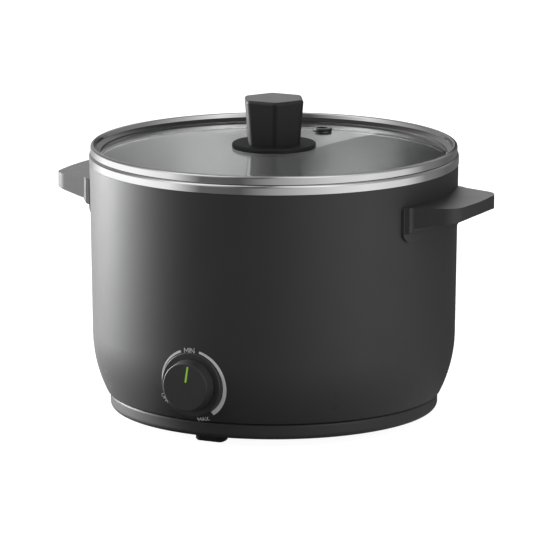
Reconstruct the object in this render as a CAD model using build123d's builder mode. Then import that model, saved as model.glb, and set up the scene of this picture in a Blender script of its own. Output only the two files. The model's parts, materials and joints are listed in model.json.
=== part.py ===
from build123d import *

import os
from math import asin, cos, degrees, radians, sin, sqrt, tan

# Multicooker with a lift-off glass lid. Millimetres, +Z up, z = 0 on the table.
# The pot's axis is the Z axis, the dial faces -Y, the handles lie along X, the inlet is at +Y.

# Driving dimensions: drum and base
drum_radius = 130.0
drum_top = 181.0
drum_draft = 0.8
drum_wall = 2.2
belly_height = 60.0
belly_arc = 95.0
skirt_height = 17.3
ledge_thickness = 3.0
mouth_radius = 126.4
base_radius = 116.0
base_round = 3.5
base_floor = 2.5
foot_height = 6.4
foot_size = (22.0, 12.0)
foot_circle = 97.0
foot_count = 3
foot_corner = 4.0
foot_bevel = 1.2

# Driving dimensions: pot and lid
pot_sheet = 1.0
pot_radius = 123.3
pot_draft = 1.3
pot_bottom = 64.5
pot_corner = 15.0
pot_rim_radius = 130.3
pot_rim_height = 6.6
pot_gap = 0.3
pot_rest = 0.1
mouth_inner = 125.0
mouth_drop = 1.4
lid_radius = 129.3
lid_height = 6.0
lid_sheet = 0.8
lid_gap = 0.1
glass_radius = 122.9
glass_thickness = 3.2
glass_rise = 3.4
glass_lift = 0.4
flange_radius = 29.6
flange_height = 3.0
knob_foot = 20.6
knob_head = 23.5
knob_corner = 4.5
knob_height = 31.8
vent_distance = 78.0
vent_radius = 6.9
vent_bore = 4.3
vent_neck = 5.1
knob_screw_radius = 2.5

# Driving dimensions: dial, handles and inlet
dial_height = 45.6
seat_radius = 22.5
seat_face = 129.0
dial_radius = 18.1
dial_depth = 8.6
dial_gap = 0.4
pointer_angle = 9.0
pointer_size = (1.4, 11.5)
pointer_start = 3.5
shaft_radius = 3.0
shaft_clearance = 0.05
face_thickness = 2.4
bush_radius = 5.0
handle_top = 166.0
handle_reach = 160.0
plate_height = 25.0
plate_half_width = 46.5
plate_proud = 2.0
ledge_half_root = 42.5
ledge_half_tip = 34.0
ledge_tip_depth = 9.5
ledge_root_depth = 14.5
handle_screw_y = 20.0
handle_screw_z = 158.0
inlet_height = 38.0
inlet_face = 131.2
inlet_sheet = 2.5
inlet_flange = (52.0, 28.0)
inlet_recess = (24.0, 16.0)
inlet_screw_pitch = 40.0
inlet_screw_length = 10.0

# Driving dimensions: heating and wiring
plate_radius = 92.0
plate_thickness = 10.4
sensor_radius = 12.0
element_circle = 64.0
element_radius = 4.0
post_circle = 78.0
post_radius = 5.0
boss_circle = 106.0
boss_radius = 5.0
boss_count = 4
pilot_radius = 1.5
screw_shank = 1.4
wire_radius = 1.3

# Driving dimensions: fits between pieces
hole_room = 0.2
screw_fit = 0.1
slide_fit = 0.03

# Derived sizes
belly_radius = drum_radius - (drum_top - belly_height) * tan(radians(drum_draft))
belly_end = asin((belly_height - skirt_height) / belly_arc + sin(radians(drum_draft)))
belly_turn = degrees(belly_end) - drum_draft
ledge_bottom = drum_top - ledge_thickness
tray_top = foot_height + base_floor
pot_step = drum_top + pot_gap
pot_rim_top = pot_step + pot_rim_height
mouth_floor = drum_top - mouth_drop
lid_bottom = pot_rim_top + lid_gap
lid_top = lid_bottom + lid_height
glass_edge = lid_bottom + glass_lift
glass_top = glass_edge + glass_rise
glass_sphere = (glass_radius**2 + glass_rise**2) / (2 * glass_rise)
flange_top = glass_top + flange_height
plate_top = pot_bottom - pot_rest
plate_bottom = plate_top - plate_thickness
plate_z = handle_top - plate_height
dial_back = seat_face + dial_gap
dial_face = dial_back + dial_depth


def drum_radius_at(z):
    """Outer radius of the drum at height z: a drafted wall, then the belly's arc."""
    if z >= belly_height:
        return drum_radius - (drum_top - z) * tan(radians(drum_draft))
    sine = (belly_height - z) / belly_arc + sin(radians(drum_draft))
    return belly_radius - belly_arc * (cos(radians(drum_draft)) - sqrt(1 - sine**2))


def write(piece, name):
    """Label a finished piece and write it as its own STEP file."""
    piece.part.label = name
    export_step(piece.part, f"parts/{name}.step")


def boss_places():
    """Places of the base screws: four round the tray, between the feet and the inlet."""
    return PolarLocations(boss_circle, boss_count, start_angle=45)


def foot_places():
    """Places of the feet: three round the tray, one of them under the dial."""
    return PolarLocations(foot_circle, foot_count, start_angle=-90)


os.makedirs("parts", exist_ok=True)

# Drum form: the solid inside the drum's outer skin, used to trim what sits on the drum
with BuildPart() as drum_form:
    with BuildSketch(Plane.XZ):
        with BuildLine():
            skin = Line((drum_radius, drum_top), (belly_radius, belly_height))
            skin_turn = JernArc(skin @ 1, skin % 1, belly_arc, -belly_turn)
            Polyline(skin_turn @ 1, (0, skirt_height), (0, drum_top), skin @ 0)
        make_face()
    revolve(axis=Axis.Z)

# Screw bosses inside the drum, each tied to the wall by a web
boss_bottom = 20.0
boss_height = 22.0
boss_web = 3.0
boss_pilot = 16.0
with BuildPart() as screw_bosses:
    with BuildSketch(Plane.XY.offset(boss_bottom)):
        with boss_places():
            Circle(boss_radius)
            Rectangle(drum_radius - boss_circle, boss_web, align=(Align.MIN, Align.CENTER))
    extrude(amount=boss_height)
    add(drum_form.part, mode=Mode.INTERSECT)

# Outer housing: hollow drum with a flat land for the inlet at the back
land_face = inlet_face - inlet_sheet
land_margin = 6.0
land_size = (inlet_flange[0] + land_margin, inlet_flange[1] + land_margin)
land_depth = 32.0
window_size = (28.4, 20.4)
wall_screw_radius = 2.2
land_corner = 5.0
window_corner = 3.0
wall_cut = 20.0
window_cut = 30.0
pilot_spare = 2.0
seam_round = 1.8
bush_hole = bush_radius + hole_room
with BuildPart() as outer_housing:
    add(drum_form.part)
    with BuildSketch(Plane.XZ.offset(-land_face)):
        with Locations((0, inlet_height)):
            RectangleRounded(*land_size, land_corner)
    extrude(amount=land_depth)
    with BuildSketch(Plane.XZ):
        with BuildLine():
            lining = Line((drum_radius - drum_wall, ledge_bottom), (belly_radius - drum_wall, belly_height))
            lining_turn = JernArc(lining @ 1, lining % 1, belly_arc - drum_wall, -belly_turn)
            Polyline(
                lining_turn @ 1,
                skin_turn @ 1,
                (0, skirt_height),
                (0, drum_top),
                (mouth_radius, drum_top),
                (mouth_radius, ledge_bottom),
                lining @ 0,
            )
        make_face()
    revolve(axis=Axis.Z, mode=Mode.SUBTRACT)
    hem = outer_housing.edges().filter_by(GeomType.CIRCLE).group_by(Axis.Z)[0]
    fillet(hem, seam_round)
    add(screw_bosses.part)
    with boss_places():
        with Locations((0, 0, boss_bottom)):
            Cylinder(pilot_radius, 2 * boss_pilot, mode=Mode.SUBTRACT)
    with BuildSketch(Plane.XZ.offset(drum_radius)):
        with Locations((0, dial_height)):
            Circle(bush_hole)
    extrude(amount=-wall_cut, mode=Mode.SUBTRACT)
    with BuildSketch(Plane.YZ):
        with Locations((-handle_screw_y, handle_screw_z), (handle_screw_y, handle_screw_z)):
            Circle(wall_screw_radius)
    extrude(amount=handle_reach, both=True, mode=Mode.SUBTRACT)
    with BuildSketch(Plane.XZ.offset(-inlet_face)):
        with Locations((0, inlet_height)):
            RectangleRounded(*window_size, window_corner)
    extrude(amount=window_cut, mode=Mode.SUBTRACT)
    with BuildSketch(Plane.XZ.offset(-inlet_face)):
        with Locations((0, inlet_height)):
            with GridLocations(inlet_screw_pitch, 0, 2, 1):
                Circle(pilot_radius)
    extrude(amount=inlet_screw_length + pilot_spare, mode=Mode.SUBTRACT)
write(outer_housing, "outer_housing")

# Dial seat: a flat round pad whose back follows the drum's wall
seat_edge = 0.8
with BuildPart() as dial_seat:
    with BuildSketch(Plane.XZ.offset(seat_face)):
        with Locations((0, dial_height)):
            Circle(seat_radius)
    extrude(amount=-seat_radius)
    fillet(dial_seat.faces().sort_by(Axis.Y)[0].edges(), seat_edge)
    add(drum_form.part, mode=Mode.SUBTRACT)
    with BuildSketch(Plane.XZ.offset(seat_face)):
        with Locations((0, dial_height)):
            Circle(bush_hole)
    extrude(amount=-seat_radius, mode=Mode.SUBTRACT)
write(dial_seat, "dial_seat")

# Base tray: dished moulding with a locating lip, screw pillars and a ring of vents
lip_radius = 113.6
lip_height = 2.0
shoulder_rise = 0.4
shoulder_round = 2.2
lip_thickness = 2.0
shoulder = skirt_height + shoulder_rise
lip_top = shoulder + lip_height
pillar_hole = pilot_radius + 0.3
sink_radius = 3.8
sink_depth = 4.0
vent_circle = 46.0
vent_count = 18
vent_slot = (22.0, 3.0)
foot_stem = 2.5
with BuildPart() as base_tray:
    with BuildSketch(Plane.XZ):
        with BuildLine():
            FilletPolyline(
                (0, foot_height),
                (base_radius, foot_height),
                (base_radius, shoulder),
                (lip_radius, shoulder),
                radius=(base_round, shoulder_round),
            )
            Polyline(
                (lip_radius, shoulder),
                (lip_radius, lip_top),
                (lip_radius - lip_thickness, lip_top),
                (lip_radius - lip_thickness, tray_top),
                (0, tray_top),
                (0, foot_height),
            )
        make_face()
    revolve(axis=Axis.Z)
    with BuildSketch(Plane.XY.offset(foot_height)):
        with boss_places():
            Circle(boss_radius)
    extrude(amount=boss_bottom - foot_height)
    with BuildSketch(Plane.XY.offset(foot_height)):
        with boss_places():
            Circle(sink_radius)
    extrude(amount=sink_depth, mode=Mode.SUBTRACT)
    with BuildSketch(Plane.XY.offset(foot_height)):
        with boss_places():
            Circle(pillar_hole)
    extrude(amount=boss_bottom - foot_height, mode=Mode.SUBTRACT)
    with BuildSketch(Plane.XY.offset(foot_height)):
        with PolarLocations(vent_circle, vent_count):
            SlotOverall(*vent_slot)
    extrude(amount=base_floor, mode=Mode.SUBTRACT)
    with BuildSketch(Plane.XY.offset(foot_height)):
        with foot_places():
            Circle(foot_stem)
    extrude(amount=base_floor, mode=Mode.SUBTRACT)
write(base_tray, "base_tray")

# Rubber feet: long pads set along the rim, each with a stem through the tray
with BuildPart() as rubber_feet:
    with BuildSketch(Plane.XY):
        with foot_places():
            RectangleRounded(foot_size[1], foot_size[0], foot_corner)
    extrude(amount=foot_height)
    chamfer(rubber_feet.faces().filter_by(Plane.XY).group_by(Axis.Z)[0].edges(), foot_bevel)
    with BuildSketch(Plane.XY.offset(foot_height)):
        with foot_places():
            Circle(foot_stem - screw_fit)
    extrude(amount=base_floor)
write(rubber_feet, "rubber_feet")

# Base screws: pan heads sunk in the tray's pillars
base_head_radius = 3.4
base_head_height = 2.6
base_screw_length = 22.0
with BuildPart() as base_screws:
    with BuildSketch(Plane.XY.offset(foot_height + sink_depth - base_head_height)):
        with boss_places():
            Circle(base_head_radius)
    extrude(amount=base_head_height)
    with BuildSketch(Plane.XY.offset(foot_height + sink_depth)):
        with boss_places():
            Circle(screw_shank)
    extrude(amount=base_screw_length)
write(base_screws, "base_screws")

# Ledge handle: wedge-shaped ledge on a saddle plate that follows the drum
ledge_bow = 3.0
ledge_corner = 14.0
ledge_edge = 4.5
trim_margin = 5.0
tip_spare = 0.5
ledge_start = drum_radius - 10
joint_round = 4.5
blend_round = 5.0
flare_turn = 48.0
flank_end = drum_radius - 0.6
with BuildPart() as ledge:
    with BuildSketch(Plane.XY.offset(handle_top)) as ledge_plan:
        with BuildLine():
            flank = Line((handle_reach - ledge_bow, ledge_half_tip), (flank_end, ledge_half_root))
            flare = JernArc(flank @ 1, flank % 1, joint_round, -flare_turn)
            Polyline(flare @ 1, (ledge_start, plate_half_width), (ledge_start, 0))
            mirror(about=Plane.XZ)
            tip_corner = (handle_reach - ledge_bow, ledge_half_tip)
            ThreePointArc(tip_corner, (handle_reach, 0), (handle_reach - ledge_bow, -ledge_half_tip))
        make_face()
        fillet(ledge_plan.vertices().group_by(Axis.X)[-1], ledge_corner)
    extrude(amount=-ledge_root_depth - trim_margin)
    with BuildSketch(Plane.XZ) as ledge_side:
        with BuildLine():
            Polyline(
                (ledge_start - trim_margin, handle_top),
                (handle_reach + tip_spare, handle_top),
                (handle_reach + tip_spare, handle_top - ledge_tip_depth),
                (drum_radius + plate_proud, handle_top - ledge_root_depth),
                (ledge_start - trim_margin, handle_top - ledge_root_depth),
                close=True,
            )
        make_face()
        fillet(ledge_side.vertices().sort_by(Axis.X)[-2:].sort_by(Axis.Y)[0], ledge_edge)
    extrude(amount=plate_half_width + trim_margin, both=True, mode=Mode.INTERSECT)

# Blend: hollow round under the ledge where it runs down into the saddle plate
blend_radius = drum_radius_at(handle_top - ledge_root_depth) + plate_proud
blend_overlap = 1.0
blend_stock = 4.0
blend_top = handle_top - ledge_root_depth + blend_overlap
with BuildPart() as ledge_blend:
    with BuildSketch(Plane.XZ):
        with BuildLine():
            Polyline(
                (blend_radius, blend_top - blend_round),
                (blend_radius - plate_proud, blend_top - blend_round),
                (blend_radius - plate_proud, blend_top + blend_stock),
                (blend_radius + blend_round, blend_top + blend_stock),
                (blend_radius + blend_round, blend_top),
            )
            RadiusArc(
                (blend_radius + blend_round, blend_top), (blend_radius, blend_top - blend_round), blend_round
            )
        make_face()
    revolve(axis=Axis.Z)
    extrude(ledge_plan.sketch, amount=-plate_height, mode=Mode.INTERSECT)

plate_block = 30.0
plate_low_round = 7.0
plate_top_round = 2.0
pocket_roof = 3.6
pocket_end = 7.0
pocket_root = 8.0
pocket_inset = 5.6
rib_pitch = 18.0
rib_thickness = 2.2
rib_block = 40.0
pocket_taper = 1.0
handle_pilot_depth = 17.0
plate_inset = 20.0
handle_pilot = 1.9
with BuildPart() as handle_right:
    with BuildSketch(Plane.YZ.offset(drum_radius - plate_inset)) as plate_outline:
        with Locations((0, handle_top - plate_height / 2)):
            Rectangle(2 * plate_half_width, plate_height)
        fillet(plate_outline.vertices().group_by(Axis.Y)[0], plate_low_round)
        fillet(plate_outline.vertices().group_by(Axis.Y)[-1], plate_top_round)
    extrude(amount=plate_block)
    with BuildSketch(Plane.XZ):
        with BuildLine():
            Polyline(
                (drum_radius_at(plate_z), plate_z),
                (drum_radius_at(plate_z) + plate_proud, plate_z),
                (drum_radius_at(handle_top) + plate_proud, handle_top),
                (drum_radius_at(handle_top), handle_top),
                close=True,
            )
        make_face()
    revolve(axis=Axis.Z, mode=Mode.INTERSECT)
    add(ledge.part)
    add(ledge_blend.part)
    add(drum_form.part, mode=Mode.SUBTRACT)
    with BuildSketch(Plane.XY.offset(handle_top - pocket_roof)):
        with BuildLine():
            Polyline(
                (handle_reach - pocket_end, -ledge_half_tip + pocket_inset),
                (drum_radius + pocket_root, -ledge_half_root + pocket_inset + pocket_taper),
                (drum_radius + pocket_root, ledge_half_root - pocket_inset - pocket_taper),
                (handle_reach - pocket_end, ledge_half_tip - pocket_inset),
                close=True,
            )
        make_face()
        with GridLocations(0, rib_pitch, 1, 2):
            with Locations((drum_radius + rib_block / 2, 0)):
                Rectangle(rib_block, rib_thickness, mode=Mode.SUBTRACT)
    extrude(amount=-plate_height, mode=Mode.SUBTRACT)
    with BuildSketch(Plane.YZ.offset(ledge_start)):
        with Locations((-handle_screw_y, handle_screw_z), (handle_screw_y, handle_screw_z)):
            Circle(handle_pilot)
    extrude(amount=handle_pilot_depth, mode=Mode.SUBTRACT)
write(handle_right, "handle_right")

with BuildPart() as handle_left:
    mirror(handle_right.part, about=Plane.YZ)
write(handle_left, "handle_left")

# Handle screws: driven from inside the drum into the root of each ledge
screw_head_x = 123.9
screw_head = (3.6, 1.4)
screw_thread = 10.5
with BuildPart() as handle_screws:
    with BuildSketch(Plane.YZ.offset(screw_head_x)):
        with Locations((-handle_screw_y, handle_screw_z), (handle_screw_y, handle_screw_z)):
            Circle(screw_head[0])
    extrude(amount=screw_head[1])
    with BuildSketch(Plane.YZ.offset(screw_head_x + screw_head[1])):
        with Locations((-handle_screw_y, handle_screw_z), (handle_screw_y, handle_screw_z)):
            Circle(handle_pilot - screw_fit)
    extrude(amount=screw_thread)
    mirror(handle_screws.part, about=Plane.YZ)
write(handle_screws, "handle_screws")

# Heat shield: pressed sheet that hangs under the drum's ledge and follows the pot
shield_sheet = 0.6
shield_floor = 62.0
shield_gap = 0.6
shield_room = 1.0
plate_room = 3.0
shield_rounds = (1.5, 17.0)
with BuildPart() as heat_shield:
    with BuildSketch(Plane.XZ):
        with BuildLine():
            FilletPolyline(
                (drum_radius - drum_wall - shield_gap, ledge_bottom),
                (pot_radius + shield_room, ledge_bottom),
                (pot_radius - shield_room, shield_floor),
                (plate_radius + plate_room, shield_floor),
                radius=shield_rounds,
            )
            offset(amount=shield_sheet, side=Side.LEFT)
        make_face()
    revolve(axis=Axis.Z)
write(heat_shield, "heat_shield")

# Heating plate: cast disc with a groove for the element and a hole for the sensor
element_drop = 1.4
element_z = plate_bottom - element_drop
plate_round = 2.5
sensor_room = 2.0
with BuildPart() as heating_plate:
    with BuildSketch(Plane.XY.offset(plate_bottom)):
        Circle(plate_radius)
        Circle(sensor_radius + sensor_room, mode=Mode.SUBTRACT)
    extrude(amount=plate_thickness)
    fillet(heating_plate.edges().group_by(Axis.Z)[-1].sort_by(SortBy.LENGTH)[-1], plate_round)
    with Locations((0, 0, element_z)):
        Torus(element_circle, element_radius + shaft_clearance, mode=Mode.SUBTRACT)
write(heating_plate, "heating_plate")

# Heating element: open ring of tube with a straight cold pin down from each end
gap_half_angle = 20.0
pin_bottom = 36.0
pin_radius = 2.0
pin_turn = 2.0
end_angle = 90 + gap_half_angle
tube_plane = Plane(
    origin=(0, 0, 0),
    x_dir=(cos(radians(end_angle)), sin(radians(end_angle)), 0),
    z_dir=(sin(radians(end_angle)), -cos(radians(end_angle)), 0),
)
pin_x = element_circle * cos(radians(end_angle + pin_turn))
pin_y = element_circle * sin(radians(end_angle + pin_turn))
with BuildPart() as heating_element:
    with BuildSketch(tube_plane):
        with Locations((element_circle, element_z)):
            Circle(element_radius)
    revolve(axis=Axis.Z, revolution_arc=360 - 2 * gap_half_angle)
    with BuildSketch(Plane.XY.offset(pin_bottom)):
        with Locations((pin_x, pin_y), (-pin_x, pin_y)):
            Circle(pin_radius)
    extrude(amount=element_z - pin_bottom)
write(heating_element, "heating_element")

# Plate posts: steel pillars from the tray to the underside of the plate
post_turn = -30.0
with BuildPart() as plate_posts:
    with BuildSketch(Plane.XY.offset(tray_top)):
        with PolarLocations(post_circle, foot_count, start_angle=post_turn):
            RegularPolygon(post_radius, 6)
    extrude(amount=plate_bottom - tray_top)
write(plate_posts, "plate_posts")

# Sensor cup: hangs under the plate, guides the sensor's stem and carries its spring
stem_radius = 4.0
cup_radius = 20.0
cup_wall = 2.0
cup_floor = 40.0
guide_bottom = 37.0
guide_top = 48.0
guide_radius = 6.2
with BuildPart() as sensor_cup:
    with BuildSketch(Plane.XZ):
        with BuildLine():
            Polyline(
                (stem_radius + shaft_clearance, guide_bottom),
                (guide_radius, guide_bottom),
                (guide_radius, cup_floor),
                (cup_radius, cup_floor),
                (cup_radius, plate_bottom),
                (cup_radius - cup_wall, plate_bottom),
                (cup_radius - cup_wall, cup_floor + cup_wall),
                (guide_radius, cup_floor + cup_wall),
                (guide_radius, guide_top),
                (stem_radius + shaft_clearance, guide_top),
                close=True,
            )
        make_face()
    revolve(axis=Axis.Z)
write(sensor_cup, "sensor_cup")

# Sensor cap: shallow cap on a stem, flush with the plate when the pot is in
cap_depth = 4.0
cap_sheet = 1.0
cap_round = 1.0
stem_round = 0.8
stem_bottom = guide_bottom - 1.0
with BuildPart() as sensor_cap:
    with BuildSketch(Plane.XZ):
        with BuildLine():
            FilletPolyline(
                (0, plate_top),
                (sensor_radius, plate_top),
                (sensor_radius, plate_top - cap_depth),
                (sensor_radius - cap_sheet, plate_top - cap_depth),
                (sensor_radius - cap_sheet, plate_top - cap_sheet),
                (stem_radius, plate_top - cap_sheet),
                (stem_radius, stem_bottom),
                (0, stem_bottom),
                radius=(cap_round, 0, 0, 0, 0, stem_round),
            )
            Line((0, stem_bottom), (0, plate_top))
        make_face()
    revolve(axis=Axis.Z)
write(sensor_cap, "sensor_cap")

# Sensor spring: round wire between the cup's floor and the cap
spring_wire = 0.7
spring_radius = 8.6
spring_turns = 5
spring_gap = 0.1
spring_start = cup_floor + cup_wall + spring_wire + spring_gap
spring_rise = plate_top - cap_sheet - spring_wire - spring_gap - spring_start
with BuildPart() as sensor_spring:
    with BuildLine():
        coil = Helix(spring_rise / spring_turns, spring_rise, spring_radius, center=(0, 0, spring_start))
    with BuildSketch(Plane(origin=coil @ 0, z_dir=coil % 0)):
        Circle(spring_wire)
    sweep(path=coil, is_frenet=True)
write(sensor_spring, "sensor_spring")

# Thermal fuse: small can held against the underside of the plate
fuse_x = -30.0
fuse_radius = 2.6
fuse_y = (-38.0, -22.0)
fuse_lead = 6.0
fuse_lead_radius = 0.6
fuse_z = plate_bottom - fuse_radius
with BuildPart() as thermal_fuse:
    with BuildSketch(Plane.XZ.offset(-fuse_y[0])):
        with Locations((fuse_x, fuse_z)):
            Circle(fuse_radius)
    extrude(amount=-(fuse_y[1] - fuse_y[0]))
    with BuildSketch(Plane.XZ.offset(-fuse_y[0] + fuse_lead)):
        with Locations((fuse_x, fuse_z)):
            Circle(fuse_lead_radius)
    extrude(amount=-(fuse_y[1] - fuse_y[0] + 2 * fuse_lead))
write(thermal_fuse, "thermal_fuse")

# Thermostat: moulded body, shoulder and threaded bush for the shaft, two tabs behind
regulator_front = 118.0
regulator_depth = 18.0
regulator_size = (32.0, 28.0)
shoulder_face = 122.6
shoulder_radius = 7.0
regulator_corner = 3.0
bush_end = 131.2
shaft_back = 112.0
tab_x = 10.0
tab_length = 8.0
tab_size = (0.8, 6.3)
with BuildPart() as thermostat:
    with BuildSketch(Plane.XZ.offset(regulator_front)):
        with Locations((0, dial_height)):
            RectangleRounded(*regulator_size, regulator_corner)
    extrude(amount=-regulator_depth)
    with BuildSketch(Plane.XZ.offset(regulator_front)):
        with Locations((0, dial_height)):
            Circle(shoulder_radius)
    extrude(amount=shoulder_face - regulator_front)
    with BuildSketch(Plane.XZ.offset(shoulder_face)):
        with Locations((0, dial_height)):
            Circle(bush_radius)
    extrude(amount=bush_end - shoulder_face)
    with BuildSketch(Plane.XZ.offset(regulator_front - regulator_depth)):
        with Locations((-tab_x, dial_height), (tab_x, dial_height)):
            Rectangle(*tab_size)
    extrude(amount=-tab_length)
    with BuildSketch(Plane.XZ.offset(bush_end)):
        with Locations((0, dial_height)):
            Circle(shaft_radius + shaft_clearance)
    extrude(amount=-(bush_end - shaft_back), mode=Mode.SUBTRACT)
write(thermostat, "thermostat")

# Thermostat nut: hexagon nut on the bush, under the dial
nut_radius = 7.8
nut_height = 2.0
with BuildPart() as thermostat_nut:
    with BuildSketch(Plane.XZ.offset(seat_face)):
        with Locations((0, dial_height)):
            RegularPolygon(nut_radius, 6)
            Circle(bush_radius, mode=Mode.SUBTRACT)
    extrude(amount=nut_height)
write(thermostat_nut, "thermostat_nut")

# Control shaft: round in the bush, flattened where the dial grips it
hub_gap = 0.4
shaft_end_gap = 0.4
shaft_flat = 1.6
hub_start = bush_end + hub_gap
shaft_start = shaft_back + shaft_end_gap
shaft_end = dial_face - face_thickness - shaft_end_gap
with BuildPart() as control_shaft:
    with BuildSketch(Plane.XZ.offset(shaft_start)):
        with Locations((0, dial_height)):
            Circle(shaft_radius)
    extrude(amount=shaft_end - shaft_start)
    with BuildSketch(Plane.XZ.offset(hub_start)):
        with Locations((0, dial_height - shaft_radius)):
            Rectangle(2 * shaft_radius, shaft_flat)
    extrude(amount=shaft_end - hub_start, mode=Mode.SUBTRACT)
write(control_shaft, "control_shaft")

# Pointer insert: thin green bar let into the dial's face
pointer_depth = 1.2
with BuildPart() as pointer_insert:
    with BuildSketch(Plane.XZ.offset(dial_face - pointer_depth)):
        with Locations(Location((0, dial_height, 0), (0, 0, -pointer_angle))):
            with Locations((0, pointer_start + pointer_size[1] / 2)):
                SlotOverall(pointer_size[1], pointer_size[0], rotation=90)
    extrude(amount=pointer_depth)
write(pointer_insert, "pointer_insert")

# Control knob: hollow cap with a hub on the shaft
dial_wall = 3.4
dial_taper = 8.0
dial_edge = 1.0
hub_radius = 5.6
with BuildPart() as control_knob:
    with BuildSketch(Plane.XZ.offset(dial_back)):
        with Locations((0, dial_height)):
            Circle(dial_radius)
    extrude(amount=dial_depth, taper=dial_taper)
    fillet(control_knob.faces().sort_by(Axis.Y)[0].edges(), dial_edge)
    with BuildSketch(Plane.XZ.offset(dial_back)):
        with Locations((0, dial_height)):
            Circle(dial_radius - dial_wall)
            Circle(hub_radius, mode=Mode.SUBTRACT)
    extrude(amount=dial_depth - face_thickness, mode=Mode.SUBTRACT)
    with BuildSketch(Plane.XZ.offset(dial_back)):
        with Locations((0, dial_height)):
            Circle(hub_radius)
    extrude(amount=hub_start - dial_back, mode=Mode.SUBTRACT)
    add(control_shaft.part, mode=Mode.SUBTRACT)
    add(pointer_insert.part, mode=Mode.SUBTRACT)
write(control_knob, "control_knob")

# Inlet pins: three flat blades with tails for the leads
inlet_depth = 20.0
pin_tip = inlet_face - 7.0
pin_size = (2.0, 4.0)
pin_stagger = 2.0
pin_tail = 98.0
inlet_pin_x = 7.0
with BuildPart() as inlet_pins:
    with BuildSketch(Plane.XZ.offset(-pin_tip)):
        with Locations(
            (-inlet_pin_x, inlet_height - pin_stagger),
            (0, inlet_height + pin_stagger),
            (inlet_pin_x, inlet_height - pin_stagger),
        ):
            Rectangle(*pin_size)
    extrude(amount=pin_tip - pin_tail)
write(inlet_pins, "inlet_pins")

# Power inlet: flanged socket screwed to the land at the back of the drum
inlet_corner = 4.0
socket_floor = 4.0
socket_fit = 0.4
recess_chamfer = 3.5
socket_width = window_size[0] - socket_fit
socket_height = window_size[1] - socket_fit
socket_corner = window_corner - socket_fit / 2
with BuildPart() as power_inlet:
    with BuildSketch(Plane.XZ.offset(-inlet_face)):
        with Locations((0, inlet_height)):
            RectangleRounded(*inlet_flange, inlet_corner)
    extrude(amount=inlet_sheet)
    with BuildSketch(Plane.XZ.offset(-land_face)):
        with Locations((0, inlet_height)):
            RectangleRounded(socket_width, socket_height, socket_corner)
    extrude(amount=inlet_depth + socket_floor - inlet_sheet)
    with BuildSketch(Plane.XZ.offset(-inlet_face)) as socket:
        with Locations((0, inlet_height)):
            Rectangle(*inlet_recess)
        chamfer(socket.vertices().group_by(Axis.Z)[-1], recess_chamfer)
    extrude(amount=inlet_depth, mode=Mode.SUBTRACT)
    with BuildSketch(Plane.XZ.offset(-inlet_face)):
        with Locations((0, inlet_height)):
            with GridLocations(inlet_screw_pitch, 0, 2, 1):
                Circle(pilot_radius)
    extrude(amount=inlet_sheet, mode=Mode.SUBTRACT)
    add(inlet_pins.part, mode=Mode.SUBTRACT)
write(power_inlet, "power_inlet")

# Inlet screws: two pan heads on the inlet's flange
pan_radius = 2.8
pan_height = 1.6
with BuildPart() as inlet_screws:
    with BuildSketch(Plane.XZ.offset(-inlet_face - pan_height)):
        with Locations((0, inlet_height)):
            with GridLocations(inlet_screw_pitch, 0, 2, 1):
                Circle(pan_radius)
    extrude(amount=pan_height)
    with BuildSketch(Plane.XZ.offset(-inlet_face)):
        with Locations((0, inlet_height)):
            with GridLocations(inlet_screw_pitch, 0, 2, 1):
                Circle(screw_shank)
    extrude(amount=inlet_screw_length)
write(inlet_screws, "inlet_screws")


def lead(points, radii):
    """A wire of round section along straight runs joined by arcs."""
    with BuildPart() as wire:
        with BuildLine():
            route = FilletPolyline(*points, radius=radii)
        with BuildSketch(Plane(origin=route @ 0, z_dir=route % 0)):
            Circle(wire_radius)
        sweep(path=route)
    return wire


# Wiring: each lead runs low inside the base, clear of the element and the posts
tab_end = -(regulator_front - regulator_depth - tab_length)
wire_supply = lead(
    [
        (-inlet_pin_x, pin_tail, inlet_height - pin_stagger),
        (-inlet_pin_x, 88, inlet_height - pin_stagger),
        (-46, 82, 22),
        (-88, 32, 20),
        (-90, -24, 20),
        (-58, -70, 22),
        (-tab_x, -78, dial_height),
        (-tab_x, tab_end, dial_height),
    ],
    (5, 14, 30, 30, 14, 5),
)
write(wire_supply, "wire_supply")

wire_switched = lead(
    [
        (tab_x, tab_end, dial_height),
        (tab_x, -82, dial_height),
        (fuse_x, -64, 40),
        (fuse_x, -49, 40),
        (fuse_x, -49, fuse_z),
        (fuse_x, fuse_y[0] - fuse_lead, fuse_z),
    ],
    (4, 8, 3.5, 3.5),
)
write(wire_switched, "wire_switched")

wire_fuse = lead(
    [
        (fuse_x, fuse_y[1] + fuse_lead, fuse_z),
        (fuse_x, -4, fuse_z),
        (fuse_x, 18, 30),
        (pin_x, 46, 26),
        (pin_x, pin_y, 26),
        (pin_x, pin_y, pin_bottom),
    ],
    (5, 8, 5, 4),
)
write(wire_fuse, "wire_fuse")

wire_return = lead(
    [
        (inlet_pin_x, pin_tail, inlet_height - pin_stagger),
        (inlet_pin_x, 90, inlet_height - pin_stagger),
        (-pin_x, 80, 24),
        (-pin_x, pin_y, 24),
        (-pin_x, pin_y, pin_bottom),
    ],
    (4, 8, 5),
)
write(wire_return, "wire_return")

with BuildPart() as wire_earth:
    with BuildSketch(Plane.XZ.offset(-pin_tail)):
        with Locations((0, inlet_height + pin_stagger)):
            Circle(wire_radius)
    extrude(amount=pin_tail - post_circle - post_radius)
write(wire_earth, "wire_earth")

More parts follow.
